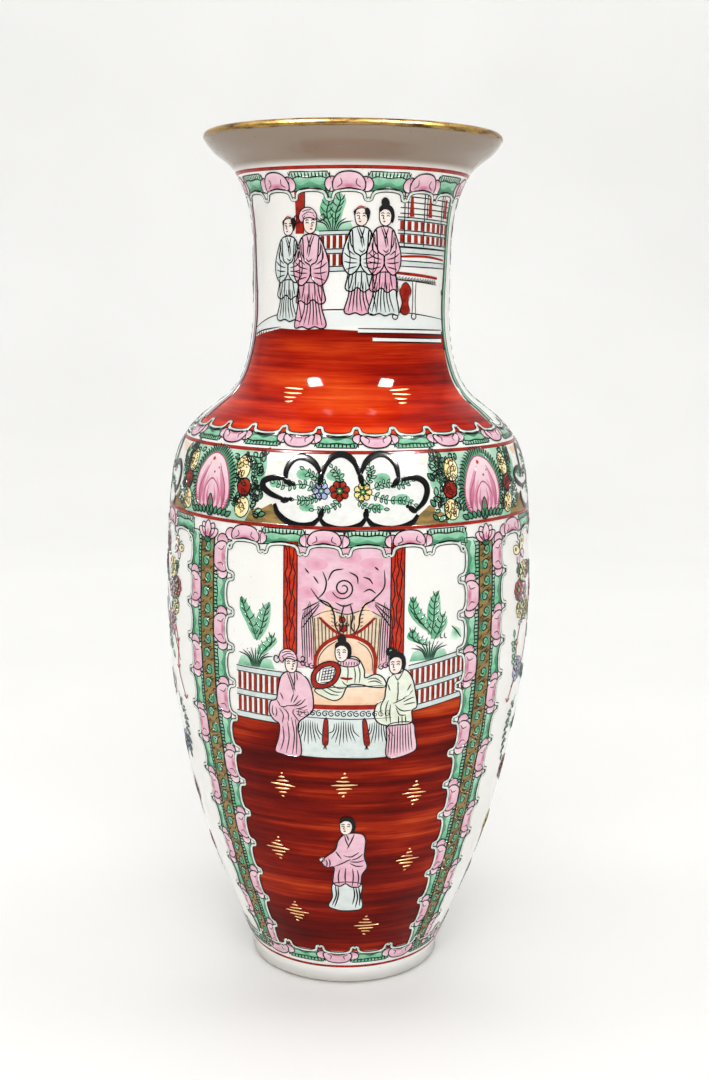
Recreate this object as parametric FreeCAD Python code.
"""Porcelain baluster vase with a flared mouth, built as the potter builds it.

The body is thrown in sections that are luted together with slip: a turned foot ring, a floor, a lower
body, a belly, a shoulder, a neck and a flared mouth. A clear glaze coats the outside, the lip and the
inside, and a second patch of glaze coats the recess under the foot. The lip carries a gilt band, and four
turned lines of iron-red enamel divide the decoration into its zones.

Every solid is a full turn about +Z. The origin is the centre of the foot's resting plane.
Units are millimetres and degrees.
"""

import math
import os
from collections import namedtuple

import FreeCAD
import Part

# A station is a point of the outer glazed profile. Its lean is the profile's angle from the vertical,
# positive where the wall opens upwards, and wall is the full thickness there, both glazes included.
Station = namedtuple("Station", "z radius lean wall")

HEIGHT = 360.0
BELLY_RADIUS = 79.0
NECK_RADIUS = 41.7
FOOT_RADIUS = 42.0
GLAZE = 0.35

FOOT_TOP = Station(z=7.0, radius=42.2, lean=24.0, wall=7.0)
LOWER_WALL = Station(z=62.0, radius=63.1, lean=16.5, wall=5.4)
LOWER_JOIN = Station(z=112.0, radius=74.5, lean=10.5, wall=4.8)
BELLY = Station(z=166.0, radius=BELLY_RADIUS, lean=0.0, wall=4.6)
BELLY_JOIN = Station(z=209.0, radius=77.3, lean=-5.5, wall=4.6)
SHOULDER = Station(z=235.5, radius=70.4, lean=-35.0, wall=4.6)
SHOULDER_TURN = Station(z=250.0, radius=55.0, lean=-54.0, wall=4.6)
NECK_JOIN = Station(z=262.5, radius=45.7, lean=-20.0, wall=4.4)
NECK = Station(z=299.0, radius=NECK_RADIUS, lean=0.5, wall=4.0)
MOUTH_JOIN = Station(z=338.0, radius=45.8, lean=22.0, wall=3.9)
MOUTH_TURN = Station(z=349.6, radius=55.0, lean=57.0, wall=3.8)
LIP_WALL = 3.8
LIP_LEAN = 24.0
LIP_RADIUS = 62.3

# Foot ring, floor and the recess under it.
FOOT_INNER_RADIUS = 35.0
FOOT_REST_INNER = 37.4
FOOT_REST_OUTER = 40.2
FOOT_GLAZE_END = 1.2
FLOOR_RADIUS = 34.0
FLOOR_UNDERSIDE = 5.2
FLOOR_TOP = 12.0
FLOOR_CORNER_LEAN = 72.0

# Enamel lines and gilding, laid on the glaze.
LINE_WIDTH = 1.3
LINE_DEPTH = 0.12
FOOT_LINE_Z = 8.6
BELT_LINE_Z = 206.2
SHOULDER_LINE_Z = 234.6
NECK_LINE_Z = 343.2
GILT_DEPTH = 0.12
GILT_FROM_LIP_START = 0.1

AXIS = FreeCAD.Vector(0, 0, 1)
ORIGIN = FreeCAD.Vector(0, 0, 0)


def lip_station():
    """The station where the lip's half round starts, placed so that the lip reaches HEIGHT and LIP_RADIUS."""
    half = LIP_WALL / 2
    lean = math.radians(LIP_LEAN)
    centre_radius = LIP_RADIUS - half
    centre_z = HEIGHT - half
    return Station(centre_z - half * math.sin(lean), centre_radius + half * math.cos(lean), LIP_LEAN, LIP_WALL)


LIP = lip_station()
PROFILE = [
    FOOT_TOP,
    LOWER_WALL,
    LOWER_JOIN,
    BELLY,
    BELLY_JOIN,
    SHOULDER,
    SHOULDER_TURN,
    NECK_JOIN,
    NECK,
    MOUTH_JOIN,
    MOUTH_TURN,
    LIP,
]


def at(radius, z):
    return FreeCAD.Vector(radius, 0, z)


def sunk(station, depth):
    """The point that lies depth under the outer surface at a station, along its normal."""
    lean = math.radians(station.lean)
    return at(station.radius - depth * math.cos(lean), station.z + depth * math.sin(lean))


def along(lean):
    """The profile's upward direction at a lean."""
    angle = math.radians(lean)
    return FreeCAD.Vector(math.sin(angle), 0, math.cos(angle))


def arc_between(start, start_lean, end, end_lean):
    """A smooth curve that leaves start and meets end along their leans."""
    reach = start.distanceToPoint(end) / 3
    curve = Part.BezierCurve()
    curve.setPoles([start, start + along(start_lean) * reach, end - along(end_lean) * reach, end])
    return curve


def rise(depth_of, stations):
    """The profile's edges through these stations, upwards, each at the depth that depth_of gives it."""
    edges = []
    for low, high in zip(stations, stations[1:]):
        curve = arc_between(sunk(low, depth_of(low)), low.lean, sunk(high, depth_of(high)), high.lean)
        edges.append(curve.toShape())
    return edges


def outer_glaze(station):
    return 0.0


def outer_clay(station):
    return GLAZE


def inner_clay(station):
    return station.wall - GLAZE


def inner_glaze(station):
    return station.wall


def line(start, end):
    return Part.makeLine(start, end)


def turned(edges):
    """The solid that a closed outline in the XZ plane makes in a full turn about +Z."""
    wire = Part.Wire(Part.__sortEdges__(edges))
    solid = Part.Face(wire).revolve(ORIGIN, AXIS, 360)
    return solid if solid.ShapeType == "Solid" else Part.Solid(solid.Shells[0])


def wall_section(stations):
    """One thrown section of the clay wall between its first and last station, with bevelled joint faces."""
    low, high = stations[0], stations[-1]
    return turned(
        rise(outer_clay, stations)
        + rise(inner_clay, stations)
        + [
            line(sunk(low, outer_clay(low)), sunk(low, inner_clay(low))),
            line(sunk(high, outer_clay(high)), sunk(high, inner_clay(high))),
        ]
    )


def floor_curve(floor_z, depth_of):
    """The inside corner: from the floor's edge up to the first station of the wall."""
    start = at(FLOOR_RADIUS, floor_z)
    end = sunk(LOWER_WALL, depth_of(LOWER_WALL))
    return arc_between(start, FLOOR_CORNER_LEAN, end, LOWER_WALL.lean).toShape()


def lip_round(depth):
    """The half round over the lip, depth under the glaze."""
    half = LIP_WALL / 2
    centre = sunk(LIP, half)
    tip = centre + along(LIP_LEAN) * (half - depth)
    return Part.Arc(sunk(LIP, depth), tip, sunk(LIP, LIP_WALL - depth)).toShape()


def foot_ring():
    """The turned ring that the vase stands on: a narrow resting face between two bevels."""
    top_outer = sunk(FOOT_TOP, GLAZE)
    top = at(top_outer.x, FOOT_TOP.z)
    glaze_end = at(FOOT_RADIUS - GLAZE, FOOT_GLAZE_END)
    points = [
        at(FLOOR_RADIUS, FOOT_TOP.z),
        at(FLOOR_RADIUS, FLOOR_UNDERSIDE),
        at(FOOT_INNER_RADIUS, FLOOR_UNDERSIDE),
        at(FOOT_INNER_RADIUS + 0.8, 1.6),
        at(FOOT_REST_INNER, 0),
        at(FOOT_REST_OUTER, 0),
        glaze_end,
        top,
    ]
    return turned([line(a, b) for a, b in zip(points, points[1:] + points[:1])])


def base_floor():
    """The disc that closes the bottom, held inside the foot ring and the lower body."""
    disc = Part.makeCylinder(FLOOR_RADIUS, FLOOR_TOP - FLOOR_UNDERSIDE)
    disc.translate(FreeCAD.Vector(0, 0, FLOOR_UNDERSIDE))
    return disc


def lower_body():
    """The first thrown section. It stands on the foot ring and closes round the floor."""
    stations = [FOOT_TOP, LOWER_WALL, LOWER_JOIN]
    outer = rise(outer_clay, stations)
    start = sunk(FOOT_TOP, GLAZE)
    seat = at(start.x, FOOT_TOP.z)
    high = LOWER_JOIN
    return turned(
        outer
        + [line(sunk(high, outer_clay(high)), sunk(high, inner_clay(high)))]
        + rise(inner_clay, stations[1:])
        + [
            floor_curve(FLOOR_TOP, inner_clay),
            line(at(FLOOR_RADIUS, FLOOR_TOP), at(FLOOR_RADIUS, FOOT_TOP.z)),
            line(at(FLOOR_RADIUS, FOOT_TOP.z), seat),
            line(seat, start),
        ]
    )


def mouth_flare():
    """The last section, which ends in the lip's half round."""
    stations = [MOUTH_JOIN, MOUTH_TURN, LIP]
    low = MOUTH_JOIN
    return turned(
        rise(outer_clay, stations)
        + [lip_round(GLAZE)]
        + rise(inner_clay, stations)
        + [line(sunk(low, outer_clay(low)), sunk(low, inner_clay(low)))]
    )


def clear_glaze():
    """The glaze coat: up the outside from the foot, over the lip, down the inside and across the floor."""
    inner_stations = PROFILE[1:]
    foot_end = at(FOOT_RADIUS, FOOT_GLAZE_END)
    foot_end_clay = at(FOOT_RADIUS - GLAZE, FOOT_GLAZE_END)
    crease_clay = sunk(FOOT_TOP, GLAZE)
    seat = at(crease_clay.x, FOOT_TOP.z)
    glazed_floor = FLOOR_TOP + GLAZE
    outside = [line(foot_end, sunk(FOOT_TOP, 0))] + rise(outer_glaze, PROFILE)
    inside = rise(inner_glaze, inner_stations) + [
        floor_curve(glazed_floor, inner_glaze),
        line(at(FLOOR_RADIUS, glazed_floor), at(0, glazed_floor)),
    ]
    clay_side = (
        [line(at(0, FLOOR_TOP), at(FLOOR_RADIUS, FLOOR_TOP)), floor_curve(FLOOR_TOP, inner_clay)]
        + rise(inner_clay, inner_stations)
        + [lip_round(GLAZE)]
        + rise(outer_clay, PROFILE)
        + [line(crease_clay, seat), line(seat, foot_end_clay)]
    )
    ends = [line(at(0, glazed_floor), at(0, FLOOR_TOP)), line(foot_end_clay, foot_end)]
    return turned(outside + [lip_round(0)] + inside + clay_side + ends)


def base_glaze():
    """The patch of glaze in the recess under the floor."""
    patch = Part.makeCylinder(FLOOR_RADIUS - 1.0, GLAZE)
    patch.translate(FreeCAD.Vector(0, 0, FLOOR_UNDERSIDE - GLAZE))
    return patch


def gilt_rim():
    """The gilding, a thin coat over the lip's half round, from the outside edge to the inside edge."""
    half = LIP_WALL / 2
    centre = sunk(LIP, half)
    up = along(LIP_LEAN)
    side = (sunk(LIP, 0) - centre).normalize()

    def on_lip(reach, turn):
        angle = math.radians(turn)
        return centre + (side * math.cos(angle) + up * math.sin(angle)) * reach

    first = math.degrees(GILT_FROM_LIP_START / half)
    last = 180 - first
    inner_arc = Part.Arc(on_lip(half, first), on_lip(half, 90), on_lip(half, last)).toShape()
    reach = half + GILT_DEPTH
    outer_arc = Part.Arc(on_lip(reach, first), on_lip(reach, 90), on_lip(reach, last)).toShape()
    return turned(
        [
            inner_arc,
            outer_arc,
            line(on_lip(half, first), on_lip(reach, first)),
            line(on_lip(half, last), on_lip(reach, last)),
        ]
    )


def outer_point(z):
    """The point of the outer glaze at a height, by halving the curve that crosses it."""
    for low, high in zip(PROFILE, PROFILE[1:]):
        if low.z <= z <= high.z:
            curve = arc_between(sunk(low, 0), low.lean, sunk(high, 0), high.lean)
            below, above = 0.0, 1.0
            for _ in range(40):
                middle = (below + above) / 2
                if curve.value(middle).z < z:
                    below = middle
                else:
                    above = middle
            return curve.value(below)
    raise ValueError("no wall at this height")


def enamel_line(z):
    """A turned line of enamel on the outer glaze, centred at a height."""
    low = outer_point(z - LINE_WIDTH / 2)
    high = outer_point(z + LINE_WIDTH / 2)
    slope = (high - low).normalize()
    out = FreeCAD.Vector(slope.z, 0, -slope.x) * LINE_DEPTH
    corners = [low, high, high + out, low + out]
    return turned([line(a, b) for a, b in zip(corners, corners[1:] + corners[:1])])


def build():
    """Every node's name and its solid."""
    return {
        "foot_ring": foot_ring(),
        "base_floor": base_floor(),
        "lower_body": lower_body(),
        "belly": wall_section([LOWER_JOIN, BELLY, BELLY_JOIN]),
        "shoulder": wall_section([BELLY_JOIN, SHOULDER, SHOULDER_TURN, NECK_JOIN]),
        "neck": wall_section([NECK_JOIN, NECK, MOUTH_JOIN]),
        "mouth_flare": mouth_flare(),
        "clear_glaze": clear_glaze(),
        "base_glaze": base_glaze(),
        "gilt_rim": gilt_rim(),
        "foot_line": enamel_line(FOOT_LINE_Z),
        "belt_line": enamel_line(BELT_LINE_Z),
        "shoulder_line": enamel_line(SHOULDER_LINE_Z),
        "neck_line": enamel_line(NECK_LINE_Z),
    }


def main():
    os.makedirs("parts", exist_ok=True)
    for name, solid in build().items():
        box = solid.BoundBox
        print(f"{name}: valid {solid.isValid()}, {solid.Volume / 1000:.2f} cm3, z {box.ZMin:.2f} to {box.ZMax:.2f}")
        solid.exportStep(f"parts/{name}.step")


main()
